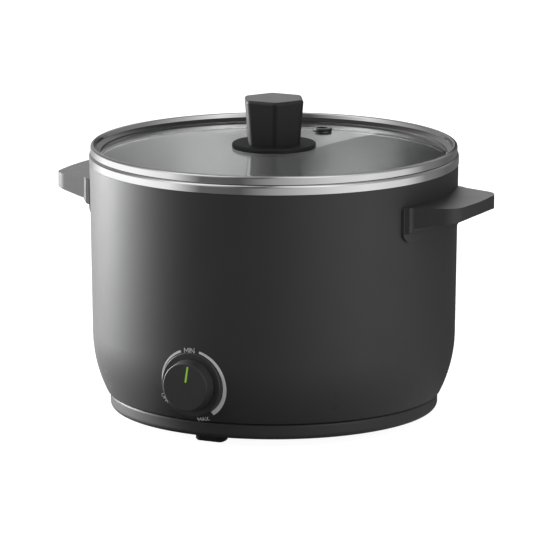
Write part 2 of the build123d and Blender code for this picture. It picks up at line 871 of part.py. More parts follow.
# Inner pot: drawn steel with a stepped mouth and a rim rolled over and down
step_rounds = (1.0, 0.5, 0.8)
pot_low = pot_radius - (mouth_floor - pot_bottom) * tan(radians(pot_draft))
roll_outer = 2.0
with BuildPart() as inner_pot:
    with BuildSketch(Plane.XZ):
        with BuildLine():
            FilletPolyline(
                (0, pot_bottom),
                (pot_low, pot_bottom),
                (pot_radius, mouth_floor),
                (mouth_inner + pot_sheet, mouth_floor),
                (mouth_inner + pot_sheet, pot_rim_top - pot_sheet),
                (pot_rim_radius - pot_sheet, pot_rim_top - pot_sheet),
                (pot_rim_radius - pot_sheet, pot_step),
                (pot_rim_radius, pot_step),
                (pot_rim_radius, pot_rim_top),
                (mouth_inner, pot_rim_top),
                (mouth_inner, mouth_floor + pot_sheet),
                (pot_radius - pot_sheet, mouth_floor + pot_sheet),
                (pot_low - pot_sheet, pot_bottom + pot_sheet),
                (0, pot_bottom + pot_sheet),
                radius=(
                    pot_corner,
                    0,
                    0,
                    0,
                    roll_outer - pot_sheet,
                    0,
                    0,
                    roll_outer,
                    *step_rounds,
                    pot_corner - pot_sheet,
                ),
            )
            Line((0, pot_bottom + pot_sheet), (0, pot_bottom))
        make_face()
    revolve(axis=Axis.Z)
write(inner_pot, "inner_pot")


def glass_at(r):
    """Height of the lid glass's upper face at radius r: a very flat sphere."""
    return glass_top - glass_sphere + sqrt(glass_sphere**2 - r**2)


# Lid glass: shallow dome with a hole for the knob screw and one for the vent
glass_normal = (0, vent_distance / glass_sphere, sqrt(1 - (vent_distance / glass_sphere) ** 2))
vent_origin = (0, vent_distance, glass_at(vent_distance))
half = glass_radius / 2
hole_cut = 12.0
screw_room = 0.7
with BuildPart() as lid_glass:
    with BuildSketch(Plane.XZ):
        with BuildLine():
            ThreePointArc((0, glass_top), (half, glass_at(half)), (glass_radius, glass_edge))
            ThreePointArc(
                (0, glass_top - glass_thickness),
                (half, glass_at(half) - glass_thickness),
                (glass_radius, glass_edge - glass_thickness),
            )
            Line((glass_radius, glass_edge), (glass_radius, glass_edge - glass_thickness))
            Line((0, glass_top), (0, glass_top - glass_thickness))
        make_face()
    revolve(axis=Axis.Z)
    with Locations(Plane(origin=vent_origin, x_dir=(1, 0, 0), z_dir=glass_normal)):
        Cylinder(vent_neck + screw_fit, hole_cut, mode=Mode.SUBTRACT)
    with Locations((0, 0, glass_top)):
        Cylinder(knob_screw_radius + screw_room, hole_cut, mode=Mode.SUBTRACT)
write(lid_glass, "lid_glass")

# Lid rim: rolled steel section with a seat for the glass and a skirt inside the pot's mouth
skirt_gap = 0.7
seat_gap = 0.1
seat_width = 2.4
lip_inner = 125.6
lip_low = 190.9
lid_rounds = (0.6, 0, 0.6, 1.6, 1.2, 0, 0, 0, 0)
skirt_radius = mouth_inner - skirt_gap
channel_radius = skirt_radius - lid_sheet
seat_radius_inner = channel_radius - seat_width
seat_top = glass_edge - glass_thickness - seat_gap
with BuildPart() as lid_rim:
    with BuildSketch(Plane.XZ):
        with BuildLine():
            FilletPolyline(
                (seat_radius_inner, seat_top - lid_sheet),
                (skirt_radius, seat_top - lid_sheet),
                (skirt_radius, lid_bottom),
                (lid_radius, lid_bottom),
                (lid_radius, lid_top),
                (lip_inner + lid_sheet, lid_top),
                (lip_inner, lip_low),
                (lip_inner, lid_bottom + lid_sheet),
                (channel_radius, lid_bottom + lid_sheet),
                (channel_radius, seat_top),
                (seat_radius_inner, seat_top),
                radius=lid_rounds,
            )
            Line((seat_radius_inner, seat_top), (seat_radius_inner, seat_top - lid_sheet))
        make_face()
    revolve(axis=Axis.Z)
write(lid_rim, "lid_rim")

# Lid gasket: silicone bead in the corner between the rim and the glass
bead_reach = 1.3
bead_top = 0.5
with BuildPart() as lid_gasket:
    with BuildSketch(Plane.XZ):
        with BuildLine():
            Polyline(
                (lip_inner, lid_bottom + lid_sheet),
                (lip_inner, lip_low),
                (channel_radius - bead_reach, glass_edge + bead_top),
                (channel_radius - bead_reach, lid_bottom),
                (channel_radius, lid_bottom),
                close=True,
            )
        make_face()
    revolve(axis=Axis.Z)
    add(lid_glass.part, mode=Mode.SUBTRACT)
    add(lid_rim.part, mode=Mode.SUBTRACT)
write(lid_gasket, "lid_gasket")

# Knob flange: black disc that spreads the knob's load on the glass
flange_hole = knob_screw_radius + hole_room
flange_edge = 1.2
flange_spigot = 1.2
with BuildPart() as lid_knob_base:
    with BuildSketch(Plane.XZ):
        with BuildLine():
            FilletPolyline(
                (flange_hole, glass_top - flange_spigot),
                (flange_radius, glass_top - flange_spigot),
                (flange_radius, flange_top),
                (flange_hole, flange_top),
                radius=(0, flange_edge),
            )
            Line((flange_hole, flange_top), (flange_hole, glass_top - flange_spigot))
        make_face()
    revolve(axis=Axis.Z)
    add(lid_glass.part, mode=Mode.SUBTRACT)
write(lid_knob_base, "lid_knob_base")

# Lid knob: six-sided grip that flares upwards, with rounded corners
screw_reach = 18.0
screw_spare = 1.0
knob_edge = 2.0
with BuildPart() as lid_knob:
    with BuildSketch(Plane.XY.offset(flange_top)) as knob_low:
        RegularPolygon(knob_foot, 6)
        fillet(knob_low.vertices(), knob_corner)
    with BuildSketch(Plane.XY.offset(flange_top + knob_height)) as knob_high:
        RegularPolygon(knob_head, 6)
        fillet(knob_high.vertices(), knob_corner)
    loft()
    fillet(lid_knob.faces().sort_by(Axis.Z)[-1].edges(), knob_edge)
    with BuildSketch(Plane.XY.offset(flange_top)):
        Circle(knob_screw_radius)
    extrude(amount=screw_reach + screw_spare, mode=Mode.SUBTRACT)
write(lid_knob, "lid_knob")

# Washer and screw under the glass
washer_top = glass_top - glass_thickness - slide_fit
washer_radius = 9.0
knob_screw_head = 4.8
head_round = 1.6
washer_sheet = 1.2
screw_head_height = 2.8
with BuildPart() as lid_knob_washer:
    with BuildSketch(Plane.XY.offset(washer_top - washer_sheet)):
        Circle(washer_radius)
        Circle(knob_screw_radius + hole_room, mode=Mode.SUBTRACT)
    extrude(amount=washer_sheet)
write(lid_knob_washer, "lid_knob_washer")

with BuildPart() as lid_knob_screw:
    with BuildSketch(Plane.XY.offset(washer_top - washer_sheet - screw_head_height)):
        Circle(knob_screw_head)
    extrude(amount=screw_head_height)
    fillet(lid_knob_screw.edges().group_by(Axis.Z)[0], head_round)
    with BuildSketch(Plane.XY.offset(washer_top - washer_sheet)):
        Circle(knob_screw_radius)
    extrude(amount=flange_top + screw_reach - washer_top + washer_sheet)
write(lid_knob_screw, "lid_knob_screw")

# Steam vent: grommet through the glass, square to its face
vent_height = 2.4
vent_grip = glass_thickness + slide_fit
vent_lip = 1.4
vent_under = vent_radius - 0.5
vent_rounds = (0.6, 0, 0, 0, 0.4, 1.0)
vent_plane = Plane(origin=vent_origin, x_dir=(1, 0, 0), z_dir=(0, -glass_normal[2], glass_normal[1]))
with BuildPart() as steam_vent:
    with BuildSketch(vent_plane):
        with BuildLine():
            FilletPolyline(
                (vent_bore, -vent_grip - vent_lip),
                (vent_under, -vent_grip - vent_lip),
                (vent_under, -vent_grip),
                (vent_neck, -vent_grip),
                (vent_neck, 0),
                (vent_radius, 0),
                (vent_radius, vent_height),
                (vent_bore, vent_height),
                radius=vent_rounds,
            )
            Line((vent_bore, vent_height), (vent_bore, -vent_grip - vent_lip))
        make_face()
    revolve(axis=Axis(vent_origin, glass_normal))
write(steam_vent, "steam_vent")
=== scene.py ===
# %% [markdown]
# # A multicooker with a lift-off glass lid
# The solids of the cooker come from the CAD model, already in place and in metres.
# This lesson gives them their finishes, turns the pot and the lid's rim again as finer
# surfaces, draws the sensor's spring again, prints the heat scale round the dial, and sets
# up the light and the camera. Z is up along the pot's axis, the dial faces -Y, and the
# origin lies on the table under the pot.

import json
import math

import bmesh
import bpy
import numpy as np
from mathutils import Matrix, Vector

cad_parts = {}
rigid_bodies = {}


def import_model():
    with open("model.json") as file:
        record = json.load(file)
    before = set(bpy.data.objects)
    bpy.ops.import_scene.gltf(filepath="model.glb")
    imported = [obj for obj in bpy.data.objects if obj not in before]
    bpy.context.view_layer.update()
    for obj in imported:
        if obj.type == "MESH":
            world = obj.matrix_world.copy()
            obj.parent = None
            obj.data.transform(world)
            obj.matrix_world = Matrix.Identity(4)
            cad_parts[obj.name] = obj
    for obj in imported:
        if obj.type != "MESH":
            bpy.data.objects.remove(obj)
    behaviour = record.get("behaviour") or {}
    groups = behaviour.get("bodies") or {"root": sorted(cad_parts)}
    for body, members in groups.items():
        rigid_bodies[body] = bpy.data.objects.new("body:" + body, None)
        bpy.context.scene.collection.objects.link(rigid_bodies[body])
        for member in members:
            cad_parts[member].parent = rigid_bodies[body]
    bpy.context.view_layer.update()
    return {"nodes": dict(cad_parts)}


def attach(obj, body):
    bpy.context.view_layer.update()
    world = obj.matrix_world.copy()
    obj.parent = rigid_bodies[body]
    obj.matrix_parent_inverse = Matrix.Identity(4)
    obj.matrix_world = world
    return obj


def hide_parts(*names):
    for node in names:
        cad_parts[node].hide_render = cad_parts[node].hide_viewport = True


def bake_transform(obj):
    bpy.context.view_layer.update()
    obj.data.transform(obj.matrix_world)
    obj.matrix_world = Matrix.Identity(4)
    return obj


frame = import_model()
parts = frame["nodes"]
print("CAD nodes:", len(parts))

# %% [markdown]
# ## The camera
# The view was worked out from the ellipses of the lid's rim and the base: their
# flatness gives the height of the eye, and the change in flatness from top to bottom
# gives the distance. A long lens far away makes the nearly parallel lines of a
# catalogue picture. The aim is moved a few millimetres sideways and up, so that the
# cooker sits in the frame where it should without any lens shift. A camera can also be
# dragged into place by eye, but numbers can be checked and set again.

# %% Place the camera
AZIMUTH = math.radians(26.5)
ELEVATION = math.radians(11.5)
DISTANCE = 4.0
AIM_HEIGHT, AIM_RIGHT, AIM_UP = 0.100, -0.0028, 0.0029
LENS_MM, SENSOR_MM = 377, 36
FAR_END = 100


def direction(azimuth, elevation):
    """Unit vector at an azimuth round Z, counted from -Y towards +X, and at an elevation above the table."""
    level = math.cos(elevation)
    return Vector((math.sin(azimuth) * level, -math.cos(azimuth) * level, math.sin(elevation)))


toward_eye = direction(AZIMUTH, ELEVATION)
eye_right = Vector((math.cos(AZIMUTH), math.sin(AZIMUTH), 0))
eye_up = toward_eye.cross(eye_right)
aim = Vector((0, 0, AIM_HEIGHT)) + AIM_RIGHT * eye_right + AIM_UP * eye_up

camera = bpy.data.objects.new("camera", bpy.data.cameras.new("camera"))
camera.data.lens = LENS_MM
camera.data.sensor_width = SENSOR_MM
camera.data.clip_end = FAR_END
camera.location = aim + DISTANCE * toward_eye
camera.rotation_mode = "QUATERNION"
camera.rotation_quaternion = (-toward_eye).to_track_quat("-Z", "Y")
bpy.context.scene.collection.objects.link(camera)
bpy.context.scene.camera = camera
print("camera at", [round(v, 3) for v in camera.location])

# %% [markdown]
# ## Tools for materials
# Paint charts and screens give colours as sRGB hex values, while the shader adds up
# light, so one function turns the one into the other. A second one adds a node with
# its settings and its links in a single line, which keeps each finish readable.

# %% Colour and node helpers
def linear(hex_colour):
    """An sRGB hex value as linear red, green, blue and alpha, by the sRGB transfer curve."""
    srgb = [int(hex_colour[i : i + 2], 16) / 255 for i in (1, 3, 5)]
    return [c / 12.92 if c <= 0.04045 else ((c + 0.055) / 1.055) ** 2.4 for c in srgb] + [1.0]


def add(tree, kind, values=(), links=(), **settings):
    """Adds one node: settings set its properties, values its unlinked inputs, links its linked ones."""
    made = tree.nodes.new("ShaderNode" + kind)
    for key, value in settings.items():
        setattr(made, key, value)
    for socket, value in dict(values).items():
        made.inputs[socket].default_value = value
    for socket, source in dict(links).items():
        tree.links.new(source, made.inputs[socket])
    return made


def new_finish(name, **constants):
    """A material with one Principled shader, whose constant sockets are set by name."""
    made = bpy.data.materials.new(name)
    made.use_nodes = True
    shader = made.node_tree.nodes["Principled BSDF"]
    for key, value in constants.items():
        shader.inputs[key.replace("_", " ")].default_value = value
    return made, made.node_tree, shader


print("middle grey #808080 in linear light:", round(linear("#808080")[0], 3))

# %% [markdown]
# ## Dressing the solids
# A finish goes into a solid's material slot, which leaves the mesh as the CAD model made
# it. Colours could be painted on the corners of the mesh instead, but a plain wall has too
# few corners for that.

# %% Dress a node
def dress(material, *names):
    """Gives CAD nodes a finish through their material slots."""
    for name in names:
        for slot in parts[name].material_slots:
            slot.material = material
    print(material.name, "on", ", ".join(names))


print("nodes with a slot:", sum(bool(node.material_slots) for node in parts.values()))

# %% [markdown]
# ## Moulded plastic
# The drum, the base, the handles and the knobs are injection moulded, probably in
# polypropylene, in moulds whose steel was lightly etched. The etching leaves a fine
# grain that spreads each highlight, and the melt leaves very faint clouds of lighter and
# darker grey. The real grain is about 0.1 mm. It is drawn at 0.4 to 0.8 mm so that it
# shows. A photographed texture would need unwrapping. Noise in object coordinates needs
# none, and its scale is a real size.

# %% Moulded plastic finishes
MM = 0.001
TINT_CLOUD, SHEEN_CLOUD = 40 * MM, 15 * MM
TINT_STOPS = (0.3, 0.7)
SHEEN_CHANGE = 0.03
GRAIN_HEIGHT = 0.02 * MM


def moulded_plastic(name, shade, rough, grain_mm=0.5, grain_depth=0.25):
    """Satin plastic: two close shades in clouds, roughness in smaller clouds, and an etched grain."""
    made, tree, shader = new_finish(name, IOR=1.5)
    place = add(tree, "TexCoord").outputs["Object"]
    clouds = add(tree, "TexNoise", {"Scale": 1 / TINT_CLOUD, "Detail": 3.0}, {"Vector": place})
    tint = add(tree, "ValToRGB", links={"Fac": clouds.outputs["Fac"]})
    for stop, position, colour in zip(tint.color_ramp.elements, TINT_STOPS, shade):
        stop.position, stop.color = position, linear(colour)
    tree.links.new(tint.outputs["Color"], shader.inputs["Base Color"])
    sheen = add(tree, "TexNoise", {"Scale": 1 / SHEEN_CLOUD, "Detail": 4.0}, {"Vector": place})
    limits = {"To Min": rough - SHEEN_CHANGE, "To Max": rough + SHEEN_CHANGE}
    rough_map = add(tree, "MapRange", limits, {"Value": sheen.outputs["Fac"]})
    tree.links.new(rough_map.outputs["Result"], shader.inputs["Roughness"])
    grain = add(tree, "TexNoise", {"Scale": 1 / (grain_mm * MM), "Detail": 2.0}, {"Vector": place})
    depth = {"Strength": grain_depth, "Distance": GRAIN_HEIGHT}
    relief = add(tree, "Bump", depth, {"Height": grain.outputs["Fac"]})
    tree.links.new(relief.outputs["Normal"], shader.inputs["Normal"])
    return made


# Satin charcoal: one broad highlight that fades into a nearly black wall
drum_plastic = moulded_plastic("charcoal_polypropylene_satin", ("#2a2a2b", "#2d2d2e"), rough=0.52)
# Etched black: the same sheen on the pieces that a hand touches
trim_plastic = moulded_plastic("black_polypropylene_etched", ("#2b2b2c", "#2e2e2f"), rough=0.52)
# Phenolic, which stands heat: the deepest black here, and a little duller
knob_plastic = moulded_plastic("black_phenolic_moulded", ("#0f0f10", "#121213"), rough=0.58)
dress(drum_plastic, "outer_housing", "base_tray")
dress(trim_plastic, "handle_left", "handle_right", "dial_seat", "control_knob", "power_inlet")
dress(knob_plastic, "lid_knob", "lid_knob_base")

# %% [markdown]
# ## Spun steel
# The pot is deep drawn and its rim and the lid's rim are rolled, then polished on a
# lathe, so the very fine lines left by polishing run round the axis. They stretch each
# reflection up and down a little. The lines are noise that changes fast with radius and
# height and hardly at all round the axis, which needs the angle as a coordinate. Below
# its mouth the pot is only brushed, which stretches reflections into upright streaks.
# Real polishing lines are a few hundredths of a millimetre apart. They are drawn at
# 0.4 mm or more so that they show. Painted on an unwrapped map they would have to be
# made for each piece, while this recipe follows every piece that was turned.

# %% The steel recipe
SLOW_TURN = 2 * MM
QUARTER_TURN = 0.25
LINE_CHANGE = (0.8, 1.2)
LINE_RELIEF, LINE_HEIGHT = 0.08, 0.01 * MM
POLISHED_SPREAD, BRUSHED_SPREAD = 0.3, 0.85


def lathe_place(tree):
    """Place as a lathe has it: (radius, height, angle times a short length), and the height by itself."""
    place = add(tree, "TexCoord").outputs["Object"]
    xyz = add(tree, "SeparateXYZ", links={"Vector": place})
    flat = add(tree, "CombineXYZ", links={"X": xyz.outputs["X"], "Y": xyz.outputs["Y"]})
    radius = add(tree, "VectorMath", links={0: flat.outputs["Vector"]}, operation="LENGTH")
    angle = add(tree, "Math", links={0: xyz.outputs["Y"], 1: xyz.outputs["X"]}, operation="ARCTAN2")
    slow = add(tree, "Math", {1: SLOW_TURN}, {0: angle.outputs["Value"]}, operation="MULTIPLY")
    on_lathe = {"X": radius.outputs["Value"], "Y": xyz.outputs["Z"], "Z": slow.outputs["Value"]}
    return add(tree, "CombineXYZ", links=on_lathe).outputs["Vector"], xyz.outputs["Z"]


def spun_steel(name, shade, rough, line_mm=0.4, brushed=None, below=0.0):
    """Steel with lines round Z: noise in (radius, height, angle) shifts roughness and relief. Below a height
    the finish changes to brushed, with its own roughness and a spread that runs up and down the wall."""
    constants = {"Metallic": 1.0, "Base_Color": linear(shade), "Anisotropic_Rotation": QUARTER_TURN}
    made, tree, shader = new_finish(name, **constants)
    lathe, height = lathe_place(tree)
    lines = add(tree, "TexNoise", {"Scale": 1 / (line_mm * MM), "Detail": 3.0}, {"Vector": lathe})
    zone = {"From Min": below, "From Max": below + MM}
    rough_zone = {**zone, "To Min": brushed or rough, "To Max": rough}
    base_rough = add(tree, "MapRange", rough_zone, {"Value": height}).outputs["Result"]
    limits = {"To Min": LINE_CHANGE[0], "To Max": LINE_CHANGE[1]}
    change = add(tree, "MapRange", limits, {"Value": lines.outputs["Fac"]}).outputs["Result"]
    roughness = add(tree, "Math", links={0: base_rough, 1: change}, operation="MULTIPLY")
    tree.links.new(roughness.outputs["Value"], shader.inputs["Roughness"])
    low_spread = BRUSHED_SPREAD if brushed else POLISHED_SPREAD
    spread_zone = {**zone, "To Min": low_spread, "To Max": POLISHED_SPREAD}
    spread = add(tree, "MapRange", spread_zone, {"Value": height})
    tree.links.new(spread.outputs["Result"], shader.inputs["Anisotropic"])
    depth = {"Strength": LINE_RELIEF, "Distance": LINE_HEIGHT}
    relief = add(tree, "Bump", depth, {"Height": lines.outputs["Fac"]})
    tree.links.new(relief.outputs["Normal"], shader.inputs["Normal"])
    ring = add(tree, "Tangent", direction_type="RADIAL", axis="Z")
    tree.links.new(ring.outputs["Tangent"], shader.inputs["Tangent"])
    return made


print("lines change the roughness by", LINE_CHANGE)

# %% [markdown]
# ## The metals
# The same recipe serves every metal here. What differs is the colour, the roughness and
# the spacing of the lines. On small pieces, such as screws, the lines run round the
# cooker's axis and not their own. A recipe for each would be truer, but lines on pieces of
# that size hardly show.

# %% Metal finishes
POT_MOUTH = 180 * MM
# Polished stainless: mirrors the studio almost sharply
rim_steel = spun_steel("stainless_steel_polished_rim", "#cdcdcd", rough=0.06)
# Stainless with a polished rim and a brushed wall: a mirror above, soft streaks below
pot_steel = spun_steel("stainless_steel_spun_pot", "#d2d2d2", rough=0.07, brushed=0.36, below=POT_MOUTH)
# Galvanised sheet: dull grey, reflections only as a glow
mill_steel = spun_steel("galvanised_steel_mill", "#a9abad", rough=0.38, line_mm=1.5)
# Drawn tube and wire: a darker, half-dull grey
tube_steel = spun_steel("steel_tube_drawn", "#8b8986", rough=0.35, line_mm=0.8)
# Zinc plate: a light grey, very slightly blue
zinc_steel = spun_steel("steel_zinc_plated", "#b9bbbd", rough=0.3, line_mm=0.6)
# Cast and turned aluminium: pale with faint lathe lines
cast_aluminium = spun_steel("aluminium_cast_turned", "#bdbdbb", rough=0.34, line_mm=0.9)
# Nickel on brass: warm and fairly bright
plated_brass = spun_steel("brass_nickel_plated", "#c9bd98", rough=0.25, line_mm=0.5)
dress(mill_steel, "heat_shield", "sensor_cup", "plate_posts")
dress(tube_steel, "heating_element", "control_shaft")
dress(zinc_steel, "base_screws", "handle_screws", "inlet_screws", "lid_knob_screw", "lid_knob_washer")
dress(cast_aluminium, "heating_plate", "sensor_cap", "thermal_fuse")
dress(plated_brass, "inlet_pins", "thermostat_nut")

# %% [markdown]
# ## Turned rims
# The pot and the lid's rim are figures of revolution with rolls of one or two millimetres.
# A polished roll mirrors the whole studio in its narrow width, so every facet of a mesh
# shows on it as a dash. Both pieces are therefore turned again from the sections that the
# CAD model has, with far more steps round the rolls and round the axis, and stand for the
# CAD nodes. A Bevel modifier would round the corners too, but a section with true arcs
# has the exact radius of each roll.

# %% Sections
ARC_STEPS = 12
NEAR_ENDS = np.array([[0.04], [0.96]])


def corner_arc(corner, back, ahead, radius):
    """Points of an arc that touches both sides of a corner, at radius / tan(half angle) from it."""
    half = math.acos(np.clip(back @ ahead, -1, 1)) / 2
    middle = corner + (back + ahead) / np.linalg.norm(back + ahead) * radius / math.sin(half)
    first, last = [corner + side * radius / math.tan(half) - middle for side in (back, ahead)]
    sweep = math.pi - 2 * half
    share = np.linspace(0, 1, ARC_STEPS)[:, None]
    return middle + (np.sin((1 - share) * sweep) * first + np.sin(share * sweep) * last) / math.sin(sweep)


def rounded_section(corners, rolls):
    """Closed section in metres: an arc at each corner that has a roll, and on each straight side two more
    points near its ends, which keep its shading flat."""
    runs = []
    for corner, before, after, radius in zip(corners, np.roll(corners, 1, 0), np.roll(corners, -1, 0), rolls):
        back, ahead = [(end - corner) / np.linalg.norm(end - corner) for end in (before, after)]
        runs.append(corner_arc(corner, back, ahead, radius) if radius else corner[None])
    sides = zip(runs, runs[1:] + runs[:1])
    return MM * np.concatenate([np.concatenate([a, a[-1] + NEAR_ENDS * (b[0] - a[-1])]) for a, b in sides])


print("points on a roll:", ARC_STEPS)

# %% [markdown]
# ## Pieces from arrays
# A new piece starts as arrays of corners and quads. Corners that fall on one place, as at
# a pole, are made one, which closes the shape there. Edges where the surface really bends
# stay sharp while the rest is shaded smooth. Modifiers could do both, but done here the
# mesh is final and can be measured.

# %% Make a piece
MERGE_DISTANCE = 1e-7
CREASE = math.radians(35)


def new_piece(name, points, quads, finish):
    """A smooth mesh from an array of corners and an array of quads, as an object at the origin."""
    mesh = bpy.data.meshes.new(name)
    mesh.from_pydata(points.tolist(), [], quads.tolist())
    work = bmesh.new()
    work.from_mesh(mesh)
    bmesh.ops.remove_doubles(work, verts=work.verts, dist=MERGE_DISTANCE)
    work.to_mesh(mesh)
    work.free()
    mesh.shade_smooth()
    mesh.set_sharp_from_angle(angle=CREASE)
    mesh.materials.append(finish)
    piece = bpy.data.objects.new(name, mesh)
    bpy.context.scene.collection.objects.link(piece)
    print(name, "faces:", len(mesh.polygons))
    return piece


print("creases kept above", round(math.degrees(CREASE)), "degrees")

# %% [markdown]
# ## Turning
# Each section is a closed line of radius and height. Carried round the axis it makes a
# grid of quads: one direction runs along the section, the other round the axis. The Screw
# modifier does the same to a curve. Arrays keep the steps, the closed seam and the way the
# faces point in plain sight.

# %% Turn a section
def turned(node, body, section, finish, steps=288):
    """Closed section turned about Z: x = r cos a, y = r sin a, and z as in the section."""
    a = np.linspace(0, 2 * np.pi, steps, endpoint=False)[:, None]
    r, z = section[None, :, 0], section[None, :, 1]
    points = np.stack([r * np.cos(a), r * np.sin(a), z + 0 * a], -1).reshape(-1, 3)
    here = np.arange(len(points)).reshape(steps, -1)
    beside = np.roll(here, -1, 0)
    quads = np.stack([here, beside, np.roll(beside, -1, 1), np.roll(here, -1, 1)], -1).reshape(-1, 4)
    piece = new_piece(node + "_turned", points, quads, finish)
    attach(piece, body)
    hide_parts(node)
    widest, top = section.max(0) / MM
    print("widest at", round(widest, 1), "mm, top at", round(top, 1), "mm")


# Radius, height and roll of each corner in millimetres
LID_RIM = np.array([
    (121.1, 184.3, 0), (124.3, 184.3, 0.6), (124.3, 188.0, 0), (129.3, 188.0, 0.6), (129.3, 194.0, 1.6),
    (126.4, 194.0, 1.2), (125.6, 190.9, 0), (125.6, 188.8, 0), (123.5, 188.8, 0), (123.5, 185.1, 0),
    (121.1, 185.1, 0),
])
turned("lid_rim", "lid", rounded_section(LID_RIM[:, :2], LID_RIM[:, 2]), rim_steel)

# %% [markdown]
# ## The pot
# The pot's section starts and ends on the axis, where each of its two faces closes in a
# pole. Its wall leans out by the small draft that lets a drawn pot leave its tool. One
# open line with a Solidify modifier would be shorter, but the rolled rim turns back on
# itself, and a closed section gives each face of the wall its own radius there.

# %% The pot
POT_FLOOR, POT_STEP, POT_SHEET = 64.5, 179.6, 1.0
POT_NECK, POT_DRAFT = 123.3, math.radians(1.3)
POT_WALL = POT_NECK - (POT_STEP - POT_FLOOR) * math.tan(POT_DRAFT)
INNER_STEP, INNER_FLOOR = POT_STEP + POT_SHEET, POT_FLOOR + POT_SHEET
POT = np.array([
    (0, POT_FLOOR, 0), (POT_WALL, POT_FLOOR, 15), (POT_NECK, POT_STEP, 0), (126.0, POT_STEP, 0),
    (126.0, 186.9, 0), (129.3, 186.9, 1.0), (129.3, 181.3, 0), (130.3, 181.3, 0), (130.3, 187.9, 2.0),
    (125.0, 187.9, 1.0), (125.0, INNER_STEP, 0.5), (POT_NECK - POT_SHEET, INNER_STEP, 0.8),
    (POT_WALL - POT_SHEET, INNER_FLOOR, 14), (0, INNER_FLOOR, 0),
])
turned("inner_pot", "pot", rounded_section(POT[:, :2], POT[:, 2]), pot_steel)

# %% [markdown]
# ## The sensor's spring
# When the pot sits down, it presses the sensor's cap, and the spring under the cap gets
# shorter. The lower end stays on its cup and the upper end goes down with the cap. The
# spring is drawn again as a coil. A curve with a round bevel would look the same at rest.
# A mesh worked out on a helix has even rings that can follow both ends.

# %% The coil
SPRING_FOOT, SPRING_RISE, SPRING_TURNS = 42.8 * MM, 19.8 * MM, 5
SPRING_RADIUS, SPRING_WIRE = 8.6 * MM, 0.7 * MM


def coil(rings=241, sides=12):
    """Tube on a helix: a ring of points round each place on the helix, in the plane square to the wire. The
    first and the last ring have no width, so the two ends are closed flat."""
    whole = 2 * np.pi * SPRING_TURNS
    turn = np.concatenate([[0], np.linspace(0, whole, rings), [whole]])[:, None]
    rise = SPRING_RISE / whole
    out = np.concatenate([np.cos(turn), np.sin(turn), 0 * turn], -1)
    run = np.concatenate([-SPRING_RADIUS * np.sin(turn), SPRING_RADIUS * np.cos(turn), rise + 0 * turn], -1)
    side = np.cross(run / np.linalg.norm(run, axis=-1, keepdims=True), out)
    middle = SPRING_RADIUS * out + np.array([0, 0, 1]) * (SPRING_FOOT + rise * turn)
    around = np.linspace(0, 2 * np.pi, sides, endpoint=False)[None, :, None]
    wire = np.full((rings + 2, 1, 1), SPRING_WIRE)
    wire[0] = wire[-1] = 0
    points = middle[:, None] + wire * (np.cos(around) * out[:, None] + np.sin(around) * side[:, None])
    here = np.arange((rings + 2) * sides).reshape(rings + 2, sides)
    beside = np.roll(here, -1, 1)
    quads = np.stack([here[:-1], beside[:-1], beside[1:], here[1:]], -1).reshape(-1, 4)
    return points.reshape(-1, 3), quads


spring = new_piece("sensor_spring_coil", *coil(), tube_steel)
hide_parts("sensor_spring")
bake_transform(spring)

# %% [markdown]
# ## Toughened glass
# The lid is clear float glass, bent and toughened. It shows mostly as what it lets
# through and what it mirrors. Wiping leaves a trace of haze in patches, so the roughness
# isn't quite nought everywhere. A mix of a clear and a mirroring shader would be quicker,
# but real transmission bends the view and mirrors more at a flat angle, as glass does.

# %% Glass finish
HAZE_PATCH = 35 * MM
# Clear glass: what lies behind it, with the room mirrored over it
lid_glass, tree, shader = new_finish(
    "soda_lime_glass_toughened", IOR=1.52, Transmission_Weight=1.0, Base_Color=linear("#f6f7f7")
)
place = add(tree, "TexCoord").outputs["Object"]
haze = add(tree, "TexNoise", {"Scale": 1 / HAZE_PATCH, "Detail": 3.0}, {"Vector": place})
haze_limits = {"From Min": 0.4, "To Min": 0.0, "To Max": 0.03}
haze_map = add(tree, "MapRange", haze_limits, {"Value": haze.outputs["Fac"]})
tree.links.new(haze_map.outputs["Result"], shader.inputs["Roughness"])
dress(lid_glass, "lid_glass")

# %% [markdown]
# ## Rubber, silicone and the small coloured pieces
# Silicone and rubber are matt because their moulds are, with a bloom of fine dust. The
# pointer is a bar of lime-green acrylic. The wires have coloured sleeves, and the
# thermostat is the brown of phenolic. Each could have a recipe of its own, but all are
# moulded, so the plastic's recipe serves with another colour, sheen and skin.

# %% Soft and coloured finishes
# Silicone and rubber: matt black with a coarser skin
black_silicone = moulded_plastic("silicone_black", ("#141414", "#181818"), rough=0.5, grain_mm=0.8)
foot_rubber = moulded_plastic(
    "rubber_black_moulded", ("#1b1b1b", "#1f1f1f"), rough=0.6, grain_mm=0.8, grain_depth=0.5
)
# Acrylic: smooth and bright
lime_acrylic = moulded_plastic(
    "acrylic_lime_moulded", ("#a2e23c", "#acea48"), rough=0.3, grain_mm=0.6, grain_depth=0.1
)
# Phenolic and sleeves: half matt, each in its usual colour
phenolic = moulded_plastic("phenolic_brown", ("#4a3a30", "#52402f"), rough=0.5)
sleeve_brown = moulded_plastic("silicone_sleeve_brown", ("#6b3420", "#733a24"), rough=0.45)
sleeve_blue = moulded_plastic("silicone_sleeve_blue", ("#2a4f9a", "#2f57a6"), rough=0.45)
sleeve_green = moulded_plastic("silicone_sleeve_green", ("#6f9a2c", "#78a433"), rough=0.45)
dress(black_silicone, "lid_gasket", "steam_vent")
dress(foot_rubber, "rubber_feet")
dress(lime_acrylic, "pointer_insert")
dress(phenolic, "thermostat")
dress(sleeve_brown, "wire_supply", "wire_switched", "wire_fuse")
dress(sleeve_blue, "wire_return")
dress(sleeve_green, "wire_earth")

